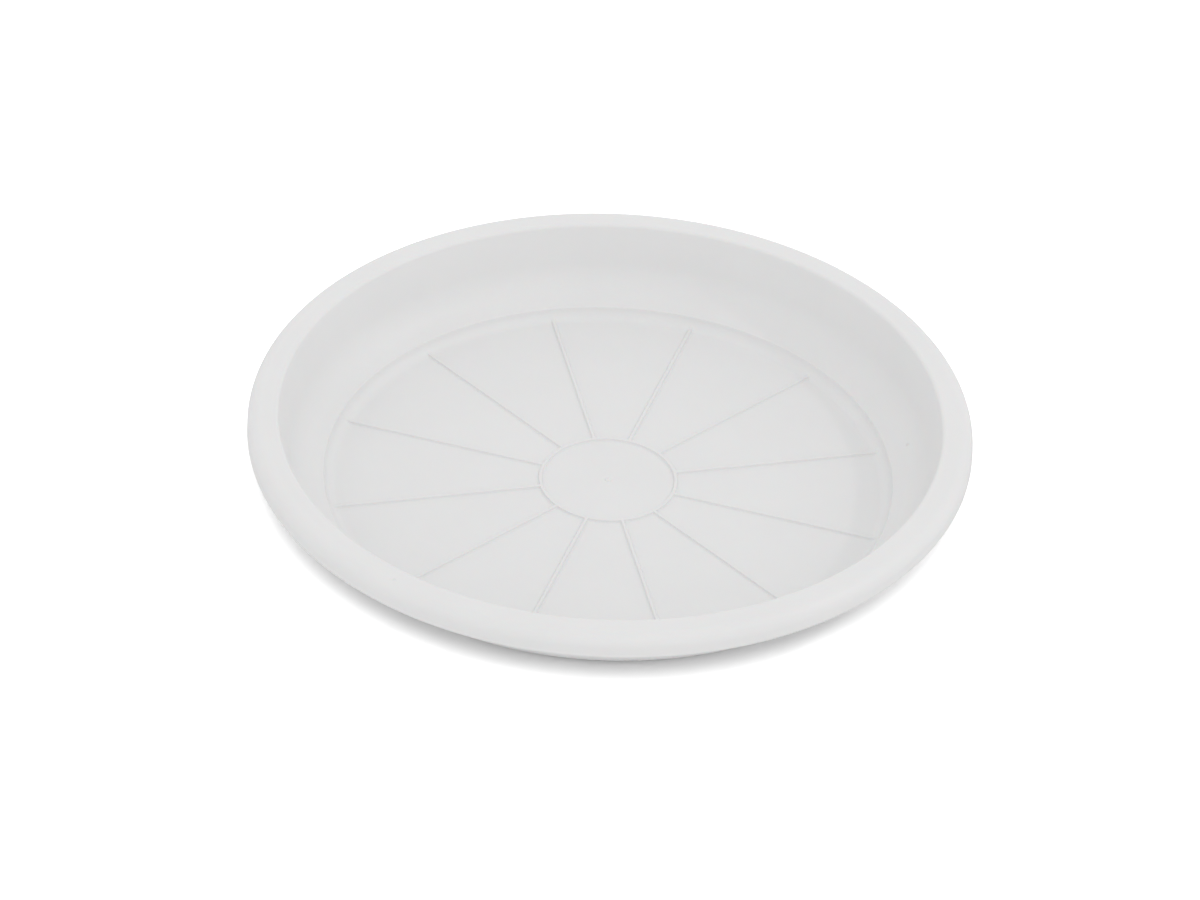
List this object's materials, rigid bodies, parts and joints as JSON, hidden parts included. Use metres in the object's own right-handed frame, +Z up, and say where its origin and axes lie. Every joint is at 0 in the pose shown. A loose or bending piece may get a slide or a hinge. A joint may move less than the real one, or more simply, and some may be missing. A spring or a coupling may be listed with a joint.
{
  "type": "plant saucer",
  "caption": "Round shallow plant saucer with a rolled-down rim, a curved wall and a ribbed floor well that keeps the pot above the drained water.",
  "frame": {"origin": "middle of the flat underside, on the surface that the saucer stands on", "axes": "+Z up along the saucer's round axis; +X and +Y run half way between two spokes of the floor"},
  "size_m": [0.3, 0.3, 0.0375],
  "materials": {
    "moulded_plastic": "satin moulded polypropylene, plain white"
  },
  "bodies": {
    "root": {"saucer": "moulded_plastic"}
  },
  "joints": []
}
